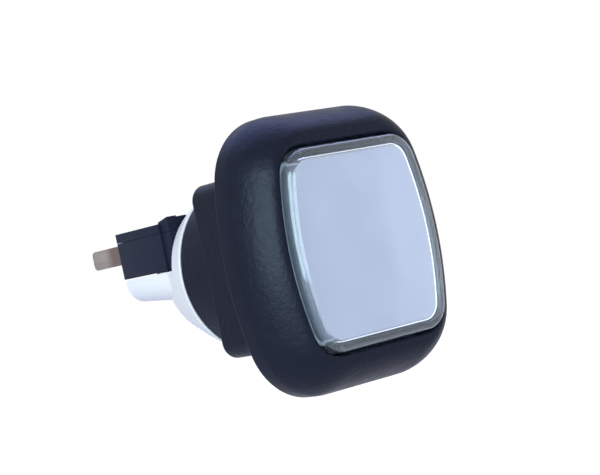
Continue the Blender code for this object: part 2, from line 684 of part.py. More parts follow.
def build_switch_case(material):
    """Tray and lid of the snap-action switch, with lever lugs and end shoulders at the front."""
    half = SWITCH_WIDTH / 2
    top = COVER_LOW - CASE_SEAM
    base = box("switch_base", (-half, SWITCH_FRONT, SWITCH_LOW), (half, SWITCH_REAR, top), material)
    cover = box("switch_cover", (-half, SWITCH_FRONT, COVER_LOW), (half, SWITCH_REAR, SWITCH_HIGH), material)
    for side, sign in (("left", -1), ("right", 1)):
        near, far = sorted((sign * (half - SHOULDER_INSET - SHOULDER_WIDTH), sign * (half - SHOULDER_INSET)))
        front = SWITCH_FRONT - SHOULDER_LENGTH
        join(base, box("base_shoulder_guide_" + side, (near, front, SWITCH_LOW + OFFSET),
                       (far, SWITCH_FRONT + ROOT, top)))
        outline = [(front, COVER_LOW), (SWITCH_FRONT + ROOT, COVER_LOW),
                   (SWITCH_FRONT + ROOT, SWITCH_HIGH + SHOULDER_STEP), (front, SWITCH_HIGH + SHOULDER_RISE)]
        join(cover, loft("cover_shoulder_guide_" + side,
                         [[(x, y, z) for y, z in outline] for x in (near, far)]))
    lug_x = CURL_RADIUS + LUG_MARGIN
    lug_front = LEVER_PIVOT_Y - CURL_RADIUS - LUG_NOSE
    lower = SWITCH_MID - LEVER_WIDTH / 2 - 2 * FIT
    join(base, box("lower_lug_guide", (LEVER_PIVOT_X - lug_x, lug_front, lower - LUG_THICKNESS),
                   (LEVER_PIVOT_X + lug_x, SWITCH_FRONT + ROOT, lower)))
    join(cover, box("upper_lug_guide", (LEVER_PIVOT_X - lug_x, lug_front, COVER_LOW),
                    (LEVER_PIVOT_X + lug_x, SWITCH_FRONT + ROOT, SWITCH_HIGH + LUG_RISE)))
    lug_hole = rod("lug_hole_cutter", TRUNNION_RADIUS + FIT,
                   (LEVER_PIVOT_X, LEVER_PIVOT_Y, lower - LUG_THICKNESS - OVERCUT),
                   (LEVER_PIVOT_X, LEVER_PIVOT_Y, SWITCH_HIGH + OVERCUT), sides=TINY_ROUND)
    inner = half - CASE_WALL
    cavity = box("case_cavity_cutter", (-inner, CAVITY_Y, SWITCH_LOW + CASE_FLOOR),
                 (inner, CAVITY_Y + CASE_CAVITY_DEPTH, SWITCH_HIGH))
    half_button = BUTTON_SIZE / 2 + FIT
    button_hole = box("button_hole_cutter",
                      (BUTTON_X - half_button, SWITCH_FRONT - OVERCUT, SWITCH_MID - half_button),
                      (BUTTON_X + half_button, CAVITY_Y + OVERCUT, SWITCH_MID + half_button))
    cut(base, cavity, lug_hole, button_hole)
    cut(cover, lug_hole)
    riser_low = SWITCH_LOW + CASE_FLOOR - OFFSET
    for label, x, low in (("common", COMMON_X, TAB_LOW - FIT), ("middle", MIDDLE_X, riser_low),
                          ("open", OPEN_X, TAB_LOW - FIT)):
        cut(base, box("tab_slot_cutter_" + label, (x - TAB_THICKNESS / 2 - FIT, CAVITY_Y + OVERCUT, low),
                      (x + TAB_THICKNESS / 2 + FIT, SWITCH_REAR + OVERCUT, SWITCH_HIGH)))
    for side, sign in (("left", -1), ("right", 1)):
        peg_x = sign * PEG_SPACING / 2
        hole = rod("peg_hole_cutter_" + side, PEG_RADIUS + FIT, (peg_x, PEG_Y, SWITCH_LOW - OVERCUT),
                   (peg_x, PEG_Y, SWITCH_HIGH + OVERCUT))
        cut(base, hole)
        cut(cover, hole)


def tab(name, x, start, material):
    """Flat quick-connect tab with rounded corners at its tip."""
    end = SWITCH_REAR + TAB_LENGTH
    half = TAB_THICKNESS / 2
    tip = rounding(TAB_ROUND, TAB_STEPS)
    outline = [(start, TAB_LOW), (start, TAB_HIGH)]
    outline += [(end - along, TAB_HIGH - inward) for along, inward in tip]
    outline += [(end - along, TAB_LOW + inward) for along, inward in reversed(tip)]
    return loft(name, [[(face, y, z) for y, z in outline] for face in (x - half, x + half)], material)


def build_switch_metal(material):
    """Three tabs, the fixed contacts on two of them, and the moving snap blade."""
    common_start = BLADE_Y - BLADE_WIDTH / 2
    tab("terminal_common", COMMON_X, common_start, material)
    pad_x = BLADE_TIP_X - PAD_RADIUS
    open_face = BLADE_Y + PAD_HEIGHT + CONTACT_GAP + FIT
    closed_face = BLADE_Y - PAD_HEIGHT - FIT
    open_tab = tab("terminal_open", OPEN_X, open_face, material)
    contact_low, contact_high = TAB_LOW + CONTACT_INSET, TAB_HIGH - CONTACT_INSET
    join(open_tab, box("open_contact_guide", (pad_x - CONTACT_WIDTH / 2, open_face, contact_low),
                       (OPEN_X, open_face + STRIP, contact_high)))
    closed_tab = tab("terminal_closed", MIDDLE_X, open_face, material)
    floor = SWITCH_LOW + CASE_FLOOR + FIT
    run = box("closed_strip_guide", (MIDDLE_X - TAB_THICKNESS / 2, closed_face - STRIP, floor),
              (pad_x + CONTACT_WIDTH / 2, open_face + ROOT, floor + STRIP))
    post = box("closed_contact_guide", (pad_x - CONTACT_WIDTH / 2, closed_face - STRIP, floor + OFFSET),
               (pad_x + CONTACT_WIDTH / 2, closed_face, contact_high))
    riser = box("closed_riser_guide", (MIDDLE_X - TAB_THICKNESS / 2, open_face, floor),
                (MIDDLE_X + TAB_THICKNESS / 2, open_face + RISER_LENGTH, TAB_LOW + ROOT))
    join(closed_tab, riser, run, post)
    low, high = SWITCH_MID - BLADE_WIDTH / 2, SWITCH_MID + BLADE_WIDTH / 2
    blade = box("snap_blade", (BLADE_ROOT_X, BLADE_Y - BLADE_THICKNESS / 2, low),
                (BLADE_TIP_X, BLADE_Y + BLADE_THICKNESS / 2, high), material)
    pad = rod("pad_guide", PAD_RADIUS, (pad_x, BLADE_Y - PAD_HEIGHT, SWITCH_MID),
              (pad_x, BLADE_Y + PAD_HEIGHT, SWITCH_MID))
    window_low, window_high = SWITCH_MID - BLADE_WINDOW / 2, SWITCH_MID + BLADE_WINDOW / 2
    window = box("blade_window_cutter", (BUTTON_X + BUTTON_SIZE, BLADE_Y - OVERCUT, window_low),
                 (pad_x - 2 * PAD_RADIUS, BLADE_Y + OVERCUT, window_high))
    cut(blade, window)
    join(blade, pad)
    carry(pivot("snap_blade_pivot", BLADE_ROOT_X, BLADE_Y, SWITCH_MID), blade)


def build_lever(material):
    """Hinged lever, made lying along X and swung forward to its free position."""
    low, high = SWITCH_MID - LEVER_WIDTH / 2, SWITCH_MID + LEVER_WIDTH / 2
    half = LEVER_THICKNESS / 2
    reach = (LEVER_REACH + LEVER_PAST_LEG) / math.cos(LEVER_ANGLE)
    lever = box("switch_lever", (0.0, -half, low - SWITCH_MID), (reach, half, high - SWITCH_MID), material)
    curl = rod("curl_guide", CURL_RADIUS, (0, 0, low - SWITCH_MID), (0, 0, high - SWITCH_MID),
               sides=TINY_ROUND)
    pin = LEVER_WIDTH / 2 + FIT + LUG_THICKNESS
    trunnion = rod("trunnion_guide", TRUNNION_RADIUS, (0, 0, -pin), (0, 0, pin), sides=TINY_ROUND)
    join(lever, curl, trunnion)
    hinge = pivot("lever_pivot", LEVER_PIVOT_X, LEVER_PIVOT_Y, SWITCH_MID)
    for obj in (lever, curl, trunnion):
        obj.parent = hinge
    hinge.rotation_euler = (0.0, 0.0, -LEVER_ANGLE)


def build_button(material):
    """Small plunger of the switch, between the lever and the snap blade."""
    half = BUTTON_SIZE / 2
    button = box("switch_button", (BUTTON_X - half, SWITCH_FRONT - BUTTON_STAND, SWITCH_MID - half),
                 (BUTTON_X + half, CAVITY_Y + FIT + BUTTON_FOOT, SWITCH_MID + half), material)
    wide = half + BUTTON_FLANGE
    foot = box("button_foot_guide", (BUTTON_X - wide, CAVITY_Y + FIT, SWITCH_MID - wide),
               (BUTTON_X + wide, CAVITY_Y + FIT + BUTTON_FOOT, SWITCH_MID + wide))
    join(button, foot)
    carry(pivot("switch_button_axis", BUTTON_X, SWITCH_FRONT, SWITCH_MID), button)


def main():
    clear_scene()
    make_collection(PARTS)
    make_collection(CUTTERS)
    black = make_material("black satin plastic", (0.020, 0.021, 0.031), 0.42)
    clear = make_material("clear lens plastic", (0.86, 0.90, 0.92), 0.06, transmission=1.0)
    legend_white = make_material("legend white", (0.52, 0.60, 0.78), 0.45)
    diffuser_white = make_material("diffuser white", (0.80, 0.84, 0.88), 0.40)
    holder_white = make_material("holder white", (0.86, 0.89, 0.95), 0.40)
    plunger_white = make_material("plunger white", (0.84, 0.86, 0.88), 0.40)
    spring_steel = make_material("spring steel", (0.55, 0.55, 0.56), 0.30, metallic=1.0)
    switch_black = make_material("switch case black", (0.030, 0.030, 0.036), 0.55)
    button_red = make_material("switch button", (0.45, 0.05, 0.04), 0.45)
    tin = make_material("tinned brass", (0.62, 0.58, 0.52), 0.35, metallic=1.0)
    lamp_plastic = make_material("lamp base plastic", (0.78, 0.78, 0.74), 0.40)
    lamp_clear = make_material("lamp dome clear", (0.90, 0.92, 0.95), 0.08, transmission=1.0)

    build_housing(black)
    press = pivot("press_axis")
    carry(press, build_lens(clear), build_legend(legend_white), build_diffuser(diffuser_white),
          build_plunger(plunger_white))
    wire("return_spring", spring_path(), SPRING_WIRE / 2, spring_steel)
    build_holder(holder_white)
    build_lamp(lamp_plastic, lamp_clear, tin)
    build_switch_case(switch_black)
    build_switch_metal(tin)
    build_lever(spring_steel)
    build_button(button_red)
    bpy.context.view_layer.update()


main()
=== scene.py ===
"""Looks of the illuminated push button: fine surfaces, materials, light and camera."""

import json
import math

import bmesh
import bpy
from mathutils import Matrix, Vector


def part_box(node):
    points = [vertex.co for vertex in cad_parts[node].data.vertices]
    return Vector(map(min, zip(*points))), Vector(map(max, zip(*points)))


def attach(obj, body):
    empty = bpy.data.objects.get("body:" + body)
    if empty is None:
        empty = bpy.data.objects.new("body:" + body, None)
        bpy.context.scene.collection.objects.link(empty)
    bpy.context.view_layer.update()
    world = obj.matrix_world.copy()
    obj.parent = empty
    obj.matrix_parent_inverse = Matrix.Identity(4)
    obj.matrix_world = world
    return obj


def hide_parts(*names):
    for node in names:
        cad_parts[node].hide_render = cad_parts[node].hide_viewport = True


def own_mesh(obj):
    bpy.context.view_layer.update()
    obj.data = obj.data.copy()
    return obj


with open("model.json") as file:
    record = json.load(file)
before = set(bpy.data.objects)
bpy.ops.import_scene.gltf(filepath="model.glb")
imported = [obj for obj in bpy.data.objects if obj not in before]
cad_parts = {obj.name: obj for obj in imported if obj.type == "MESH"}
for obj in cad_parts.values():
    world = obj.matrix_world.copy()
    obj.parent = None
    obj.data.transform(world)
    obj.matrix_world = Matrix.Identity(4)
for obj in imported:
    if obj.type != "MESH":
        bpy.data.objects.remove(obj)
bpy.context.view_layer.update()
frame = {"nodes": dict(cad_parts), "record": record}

# Lengths are in millimetres until a mesh is made. +X is right seen from the front, +Y is towards the
# terminals and +Z is up; the panel plane is y = 0.
MM = 0.001

BEHAVIOUR = frame["record"]["behaviour"]
BODIES = {node: body for body, nodes in BEHAVIOUR["bodies"].items() for node in nodes}


def span(node):
    """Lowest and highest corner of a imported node, in millimetres."""
    low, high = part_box(node)
    return low / MM, high / MM


bezel_low, bezel_high = span("bezel_housing")
lens_low, lens_high = span("lens_cap")
legend_low, legend_high = span("legend_sheet")
holder_low, holder_high = span("rear_holder")
base_low, base_high = span("switch_base")
cover_high = span("switch_cover")[1]

# Outline of the legend and of what follows it
LEGEND_WIDTH = legend_high.x - legend_low.x
LEGEND_HEIGHT = legend_high.z - legend_low.z
LEGEND_CORNER = 2.4
SIDE_BOW_RADIUS = 43.55

# Lens
LENS_MARGIN = lens_high.z - legend_high.z
LENS_WALL = 1.15
LENS_FRONT = 1.05
LENS_EDGE = 1.1
INNER_EDGE = 0.8
RIM_EDGE = 0.1

# Bezel, with a brow that falls along a superellipse
BEZEL_WIDTH = bezel_high.x - bezel_low.x
BEZEL_HEIGHT = bezel_high.z - bezel_low.z
BEZEL_FRONT = bezel_low.y
BEZEL_CORNER = 9.5
BROW_INWARD = 3.9
BROW_DEEP = 6.5
BROW_POWER = 1.55
REAR_EDGE = 0.4
LENS_GAP = 0.3
LIP_ROUND = 0.4
POCKET_FLOOR = -1.4

# Body and barrel, in one moulding with the bezel
BODY_WIDTH = 24.0
BODY_CORNER = 2.4
BODY_LENGTH = 10.5
BODY_EDGE = 0.5
CAVITY_WIDTH = 21.0
CAVITY_CORNER = 1.9
WEB = 1.6
WEB_Y = BODY_LENGTH - WEB
BARREL_RADIUS = 11.9
BARREL_EDGE = 0.2
BARREL_END = bezel_high.y
BORE_RADIUS = 10.3
TUBE_HOLE = 4.5
LEG_X = 4.7
LEG_HOLE = 1.15
HOOK_NEAR = 6.9
HOOK_FAR = 8.4
HOOK_HOLE = 1.5

# How far a cutter runs past a face, and a joined piece into its neighbour
OVERCUT = 1.0
ROOT = 0.5

# Rear holder: spigot in the barrel, ring, cone and block
FIT = 0.15
HOLDER_RING = BARREL_END + FIT
SPIGOT_GAP = 0.3
SPIGOT_WALL = 0.9
SPIGOT_RADIUS = BORE_RADIUS - SPIGOT_GAP
SPIGOT_BORE = SPIGOT_RADIUS - SPIGOT_WALL
RING_LENGTH = 3.6
RING_SLOPE = 0.39
CONE_LENGTH = 7.7
CONE_SLOPE = 0.47
CONE_EDGE = 0.15
CONE_FRONT = 12.0
RING_END = HOLDER_RING + RING_LENGTH
RING_REAR = CONE_FRONT - RING_SLOPE * (RING_END - HOLDER_RING)
CONE_END = HOLDER_RING + CONE_LENGTH
CONE_REAR = RING_REAR - CONE_SLOPE * (CONE_END - RING_END)
FLOOR_DEPTH = 3.3
HOLDER_FLOOR = HOLDER_RING + FLOOR_DEPTH
BLOCK_WIDTH = 19.6
BLOCK_TOP = 1.5
BLOCK_BOTTOM_FRONT = -2.8
BLOCK_BOTTOM_REAR = -2.0
BLOCK_CORNER = 2.9
BLOCK_ROOT = 2.0
BLOCK_EDGE = 0.3
BLOCK_END = holder_high.y
SLOT_STEP = 0.05

# Pegs through the switch, which end below its raised shoulder
SHOULDER_RISE = 0.75
CASE_TOP = cover_high.z - SHOULDER_RISE
PEG_RADIUS = 1.1
PEG_X = 4.75
PEG_INSET = 2.9
PEG_Y = BLOCK_END - PEG_INSET

# Return spring
SPRING_RADIUS = 4.85
SPRING_WIRE = 0.55
SPRING_TURNS = 5.5
CLOSED_TURNS = 0.75
CLOSED_PITCH = 0.58

# Edges of the switch and its metal
CASE_EDGE = 0.06
METAL_EDGE = 0.05
EDGE_SEGMENTS = 3

# Brown stain on the switch tabs, as distances behind the case
STAIN_START = 4.0
STAIN_END = 5.8

# Finishes: CLOUD is the range of a noise over which colour and gloss change
CLOUD = (0.3, 0.7)

# Clear pieces: lamps begin to shine through, and do so fully, where a normal's Y part is OPEN_FRONT
OPEN_FRONT = (0.5, 0.85)
CLEAR_SHEEN = (0.92, 0.94, 1.02, 1.0)
CLEAR_MOTTLE = 180.0
LIGHTER = 1.03
DULLER = 1.8

# Drawn metal, with streaks along Y
STREAKS = (900.0, 90.0, 900.0)
STREAK_STRENGTH = 0.15
STREAK_DEPTH = 0.00002

# Facets
SIDE_STEPS = 24
CORNER_STEPS = 20
BROW_STEPS = 36
EDGE_STEPS = 8
ROUND = 160
HOLE_SIDES = 64
PEG_SIDES = 48
WIRE_ROUND = 16
SPRING_STEPS = 32

# Angles in degrees, past which an edge is shaded sharp
SMOOTH_ANGLE = 35
MOULDED_ANGLE = 30
LENS_ANGLE = 40

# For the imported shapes: edges past RIM_ANGLE are rounded, and faces within FLAT_ANGLE are joined
RIM_ANGLE = 40
FLAT_ANGLE = 1

# Distances at which points are merged, in metres
WELD = 0.000002
WELD_FINE = 0.0000002

# Photo's viewpoint, from fitting the button's edges; its turn is azimuth, elevation and roll in degrees
CAMERA_PLACE = (-167.8, -184.3, 0.1)
CAMERA_TURN = (-41.756, -0.5, 12.06)
CAMERA_LENS = 110.29
CAMERA_SENSOR = 36.0
CAMERA_CLIP = 0.01

# Studio, with the floor in metres and the angle in degrees
WORLD_LIGHT = 0.35
WORLD_COLOUR = (0.93, 0.96, 1.0, 1.0)
WHITE = (1.0, 1.0, 1.0, 1.0)
FLOOR_Z = -0.075
FLOOR_SIZE = 6.0
FLOOR_PALE = (0.6, 0.61, 0.62, 1.0)
FLOOR_PART = (0.5, 0.5, 0.5, 1.0)
FLOOR_GLOW = 0.88
BACK_ANGLE = 60


# Meshes


def smooth(mesh, angle):
    mesh.shade_smooth()
    mesh.set_sharp_from_angle(angle=math.radians(angle))


def finish_mesh(name, bm, smooth_angle=SMOOTH_ANGLE):
    bmesh.ops.recalc_face_normals(bm, faces=bm.faces)
    mesh = bpy.data.meshes.new(name)
    bm.to_mesh(mesh)
    bm.free()
    smooth(mesh, smooth_angle)
    obj = bpy.data.objects.new(name, mesh)
    bpy.context.scene.collection.objects.link(obj)
    return obj


def box(name, low, high):
    low, high = Vector(low) * MM, Vector(high) * MM
    bm = bmesh.new()
    place = Matrix.Translation((low + high) / 2) @ Matrix.Diagonal((*(high - low), 1.0))
    bmesh.ops.create_cube(bm, size=1.0, matrix=place)
    return finish_mesh(name, bm)


def rod(name, radius, start, end, sides, bevel=0.0):
    start, end = Vector(start) * MM, Vector(end) * MM
    run = end - start
    turn = run.to_track_quat("Z", "Y").to_matrix().to_4x4()
    bm = bmesh.new()
    bmesh.ops.create_cone(
        bm, cap_ends=True, segments=sides, radius1=radius * MM, radius2=radius * MM,
        depth=run.length, matrix=Matrix.Translation((start + end) / 2) @ turn,
    )
    if bevel:
        rims = [e for e in bm.edges if any(len(f.verts) > 4 for f in e.link_faces)]
        round_edges(bm, rims, bevel)
    return finish_mesh(name, bm)


def round_edges(bm, edges, size, clamp=False):
    bmesh.ops.bevel(bm, geom=edges, offset=size * MM, segments=EDGE_SEGMENTS, profile=0.5,
                    affect="EDGES", clamp_overlap=clamp)


def loft(name, rings, smooth_angle=SMOOTH_ANGLE):
    """Surface through equal rings, with a face over each end."""
    bm = bmesh.new()
    loops = [[bm.verts.new(Vector(p) * MM) for p in ring] for ring in rings]
    bm.faces.new(loops[0])
    bm.faces.new(loops[-1])
    count = len(loops[0])
    for near, far in zip(loops, loops[1:]):
        for i in range(count):
            j = (i + 1) % count
            bm.faces.new((near[i], near[j], far[j], far[i]))
    return finish_mesh(name, bm, smooth_angle)


def combine(obj, operation, *others):
    """Apply Boolean steps at once, and drop the operands."""
    for other in others:
        step = obj.modifiers.new(other.name, "BOOLEAN")
        step.operation = operation
        step.object = other
    bpy.context.view_layer.update()
    depsgraph = bpy.context.evaluated_depsgraph_get()
    mesh = bpy.data.meshes.new_from_object(obj.evaluated_get(depsgraph))
    obj.modifiers.clear()
    old = obj.data
    obj.data = mesh
    bpy.data.meshes.remove(old)
    for other in others:
        bpy.data.objects.remove(other)


def join(obj, *others):
    combine(obj, "UNION", *others)


def cut(obj, *others):
    combine(obj, "DIFFERENCE", *others)


# Rings for lofts, each at a depth y


def circle_ring(radius, y):
    turns = [2 * math.pi * i / ROUND for i in range(ROUND)]
    return [(radius * math.cos(a), y, radius * math.sin(a)) for a in turns]


def bowed_outline(width, height, corner, side_radius, y):
    """Straight top and bottom, bowed sides and round corners."""
    side_x = width / 2 - side_radius
    corner_z = height / 2 - corner
    corner_x = side_x + math.sqrt((side_radius - corner) ** 2 - corner_z**2)
    turn = math.atan2(corner_z, corner_x - side_x)
    quarter = []
    for i in range(SIDE_STEPS):
        a = turn * i / SIDE_STEPS
        quarter.append((side_x + side_radius * math.cos(a), side_radius * math.sin(a)))
    for i in range(CORNER_STEPS + 1):
        a = turn + (math.pi / 2 - turn) * i / CORNER_STEPS
        quarter.append((corner_x + corner * math.cos(a), corner_z + corner * math.sin(a)))
    left = [(-x, z) for x, z in reversed(quarter)]
    lower_left = [(-x, -z) for x, z in quarter[1:]]
    lower_right = [(x, -z) for x, z in reversed(quarter[1:])]
    return [(x, y, z) for x, z in quarter + left + lower_left + lower_right]


def face_ring(y, grow=0.0):
    """The legend's outline, grown all round."""
    return bowed_outline(
        LEGEND_WIDTH + 2 * grow, LEGEND_HEIGHT + 2 * grow, LEGEND_CORNER + grow,
        SIDE_BOW_RADIUS + grow, y,
    )


def bezel_ring(y, inward=0.0):
    """The bezel's outline, with sides that follow the legend's bow."""
    side_radius = SIDE_BOW_RADIUS + (BEZEL_WIDTH - LEGEND_WIDTH) / 2
    return bowed_outline(
        BEZEL_WIDTH - 2 * inward, BEZEL_HEIGHT - 2 * inward, BEZEL_CORNER - inward,
        side_radius - inward, y,
    )


def square_ring(width, corner, y):
    half = width / 2 - corner
    ring = []
    for quadrant in range(4):
        start = quadrant * math.pi / 2
        cx = half * (1 if quadrant in (0, 3) else -1)
        cz = half * (1 if quadrant in (0, 1) else -1)
        for i in range(CORNER_STEPS + 1):
            a = start + math.pi / 2 * i / CORNER_STEPS
            ring.append((cx + corner * math.cos(a), y, cz + corner * math.sin(a)))
    return ring


def block_ring(y, bottom, inward=0.0):
    """Section of the holder's block: flat top, round lower corners."""
    half = BLOCK_WIDTH / 2 - inward
    corner = BLOCK_CORNER - inward
    lower = []
    for i in range(CORNER_STEPS + 1):
        a = math.pi / 2 * i / CORNER_STEPS
        lower.append((half - corner * (1 - math.cos(a)), bottom + corner * (1 - math.sin(a))))
    left = [(-x, z) for x, z in reversed(lower)]
    top = BLOCK_TOP + OVERCUT
    return [(x, y, z) for x, z in [(half, top)] + lower + left + [(-half, top)]]


def rounding(radius):
    """Quarter round between a side and an end, as distances from the end and from the side."""
    turns = [math.pi / 2 * i / EDGE_STEPS for i in range(EDGE_STEPS + 1)]
    return [(radius * (1 - math.sin(a)), radius * (1 - math.cos(a))) for a in turns]


# Materials


def new_material(name):
    """New material and its node tree."""
    mat = bpy.data.materials.new(name)
    mat.use_nodes = True
    return mat, mat.node_tree


def feed(tree, node, inputs):
    """Give each named input its value, or its link where the value is another node's output."""
    for socket, value in inputs.items():
        if isinstance(value, bpy.types.NodeSocket):
            tree.links.new(value, node.inputs[socket])
        else:
            node.inputs[socket].default_value = value


def add_node(tree, kind, inputs=None):
    node = tree.nodes.new(kind)
    feed(tree, node, inputs or {})
    return node


def noise(tree, scale, detail, roughness=0.5, place=None):
    place = place or add_node(tree, "ShaderNodeTexCoord").outputs["Object"]
    return add_node(tree, "ShaderNodeTexNoise", {
        "Vector": place, "Scale": scale, "Detail": detail, "Roughness": roughness}).outputs["Fac"]


def shade(tree, source, dark, light):
    """Two colours that follow a cloudy value."""
    node = add_node(tree, "ShaderNodeValToRGB", {"Fac": source})
    for element, position, colour in zip(node.color_ramp.elements, CLOUD, (dark, light)):
        element.position = position
        element.color = (*colour, 1.0)
    return node.outputs["Color"]


def spread(tree, source, low, high, start=CLOUD[0], end=CLOUD[1]):
    """Low below the start, high past the end and even between them."""
    return add_node(tree, "ShaderNodeMapRange", {
        "Value": source, "From Min": start, "From Max": end, "To Min": low, "To Max": high,
    }).outputs["Result"]


def bump(tree, source, strength, distance):
    return add_node(tree, "ShaderNodeBump", {
        "Height": source, "Strength": strength, "Distance": distance}).outputs["Normal"]


def calculate(tree, operation, *values):
    node = add_node(tree, "ShaderNodeMath", dict(enumerate(values)))
    node.operation = operation
    return node.outputs[0]


def mix_shaders(tree, share, first, second):
    """The first shader where share is 0 and the second where it is 1."""
    return add_node(tree, "ShaderNodeMixShader", {
        0: share, 1: first.outputs[0], 2: second.outputs[0]}).outputs[0]


def moulded_plastic(name, dark, light, rough=(0.4, 0.5), specular=0.5, mottle=260.0, grain=2600.0,
                    grain_strength=0.12, grain_depth=0.00003, sheen_tint=(1.0, 1.0, 1.0)):
    """Moulded plastic: faint cloudy colour, uneven gloss and a fine grain."""
    mat, tree = new_material(name)
    cloud = noise(tree, mottle, 4.0, 0.6)
    fine = noise(tree, grain, 2.0, 0.6)
    feed(tree, tree.nodes["Principled BSDF"], {
        "Base Color": shade(tree, cloud, dark, light),
        "Roughness": spread(tree, cloud, *rough),
        "Normal": bump(tree, fine, grain_strength, grain_depth),
        "Specular IOR Level": specular,
        "Specular Tint": (*sheen_tint, 1.0),
    })
    return mat


def clear_plastic(name, tint, rough, ior=1.49, milk=0.0):
    """Clear plastic. Lamps shine through its front, while its sides bend their light away."""
    mat, tree = new_material(name)
    plastic = tree.nodes["Principled BSDF"]
    cloud = noise(tree, CLEAR_MOTTLE, 2.0)
    feed(tree, plastic, {
        "Base Color": shade(tree, cloud, tint, tuple(min(c * LIGHTER, 1.0) for c in tint)),
        "Roughness": spread(tree, cloud, rough, rough * DULLER),
        "IOR": ior,
        "Transmission Weight": 1.0 - milk,
        "Specular Tint": CLEAR_SHEEN,
    })
    normal = add_node(tree, "ShaderNodeNewGeometry").outputs["Normal"]
    facing = add_node(tree, "ShaderNodeSeparateXYZ", {0: normal}).outputs["Y"]
    open_front = spread(tree, calculate(tree, "ABSOLUTE", facing), 0.0, 1.0, *OPEN_FRONT)
    lamp_ray = add_node(tree, "ShaderNodeLightPath").outputs["Is Shadow Ray"]
    clear_way = add_node(tree, "ShaderNodeBsdfTransparent", {"Color": (*tint, 1.0)})
    surface = mix_shaders(tree, calculate(tree, "MULTIPLY", lamp_ray, open_front), plastic, clear_way)
    feed(tree, tree.nodes["Material Output"], {"Surface": surface})
    return mat


def metal(name, dark, light, rough, stain=None):
    """Drawn metal; stain is the colour of the half of a tab that is next to the switch case."""
    mat, tree = new_material(name)
    place = add_node(tree, "ShaderNodeTexCoord").outputs["Object"]
    stretched = add_node(tree, "ShaderNodeMapping", {"Vector": place, "Scale": STREAKS})
    streaks = noise(tree, 1.0, 3.0, place=stretched.outputs["Vector"])
    colour = shade(tree, streaks, dark, light)
    if stain:
        along = add_node(tree, "ShaderNodeSeparateXYZ", {0: place}).outputs["Y"]
        near = spread(tree, along, 1.0, 0.0, (base_high.y + STAIN_START) * MM,
                      (base_high.y + STAIN_END) * MM)
        tone = tree.nodes.new("ShaderNodeMix")
        tone.data_type = "RGBA"
        feed(tree, tone, {0: near, 6: colour, 7: (*stain, 1.0)})
        colour = tone.outputs[2]
    feed(tree, tree.nodes["Principled BSDF"], {
        "Base Color": colour,
        "Roughness": spread(tree, streaks, *rough),
        "Normal": bump(tree, streaks, STREAK_STRENGTH, STREAK_DEPTH),
        "Metallic": 1.0,
    })
    return mat


MATERIALS = {
    "bezel": moulded_plastic(
        "bezel black", (0.0010, 0.0018, 0.0070), (0.0022, 0.0034, 0.0105), (0.34, 0.44), 0.035,
        mottle=420.0, grain=1350.0, grain_strength=0.6, grain_depth=0.00012,
        sheen_tint=(4.3, 4.7, 6.2)),
    "lens": clear_plastic("lens clear", (0.81, 0.87, 0.975), 0.06, milk=0.032),
    "legend": moulded_plastic(
        "legend face", (0.385, 0.337, 0.360), (0.405, 0.357, 0.380), (0.45, 0.55), 0.3,
        mottle=70.0, grain_strength=0.03),
    # The diffuser's dark grey-blue is painted shade: the plate is darkened so that its edge, seen
    # through the lens rim, looks dim.
    "diffuser": moulded_plastic(
        "diffuser", (0.125, 0.155, 0.205), (0.155, 0.185, 0.235), (0.35, 0.42)),
    "plunger": moulded_plastic("plunger white", (0.78, 0.80, 0.83), (0.83, 0.85, 0.88), (0.35, 0.45)),
    "holder": moulded_plastic(
        "holder white", (0.64, 0.595, 0.64), (0.685, 0.64, 0.68), (0.38, 0.48), 0.2, mottle=120.0),
    "switch": moulded_plastic(
        "switch case", (0.0065, 0.008, 0.018), (0.010, 0.012, 0.026), (0.5, 0.62), 0.15,
        mottle=350.0, grain=4000.0, grain_strength=0.2, sheen_tint=(0.55, 0.70, 1.0)),
    "button": moulded_plastic("switch button", (0.40, 0.04, 0.03), (0.46, 0.06, 0.04)),
    "lamp_plastic": moulded_plastic("lamp base", (0.72, 0.72, 0.68), (0.78, 0.78, 0.74)),
    "lamp_clear": clear_plastic("lamp dome", (0.94, 0.95, 0.96), 0.04),
    "tin": metal("tinned brass", (0.23, 0.205, 0.20), (0.33, 0.30, 0.295), (0.42, 0.58)),
    "tab": metal("tinned tab", (0.22, 0.195, 0.19), (0.32, 0.29, 0.285), (0.42, 0.58),
                 stain=(0.145, 0.112, 0.102)),
    "steel": metal("spring steel", (0.50, 0.50, 0.52), (0.62, 0.62, 0.64), (0.25, 0.38)),
}

NODE_LOOKS = {
    "bezel_housing": "bezel", "lens_cap": "lens", "legend_sheet": "legend",
    "diffuser_plate": "diffuser", "plunger": "plunger", "return_spring": "steel",
    "rear_holder": "holder", "lamp_base": "lamp_plastic", "lamp_dome": "lamp_clear",
    "lamp_lead_left": "tin", "lamp_lead_right": "tin", "lamp_contact_left": "tin",
    "lamp_contact_right": "tin", "switch_base": "switch", "switch_cover": "switch",
    "terminal_common": "tab", "terminal_open": "tab", "terminal_closed": "tab",
    "snap_blade": "tin", "switch_lever": "steel", "switch_button": "button",
}


def dress(obj, look):
    obj.data.materials.clear()
    obj.data.materials.append(MATERIALS[look])


def stand_for(obj, *nodes):
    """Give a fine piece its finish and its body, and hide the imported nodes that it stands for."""
    dress(obj, NODE_LOOKS[nodes[0]])
    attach(obj, BODIES[nodes[0]])
    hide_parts(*nodes)


# Pieces


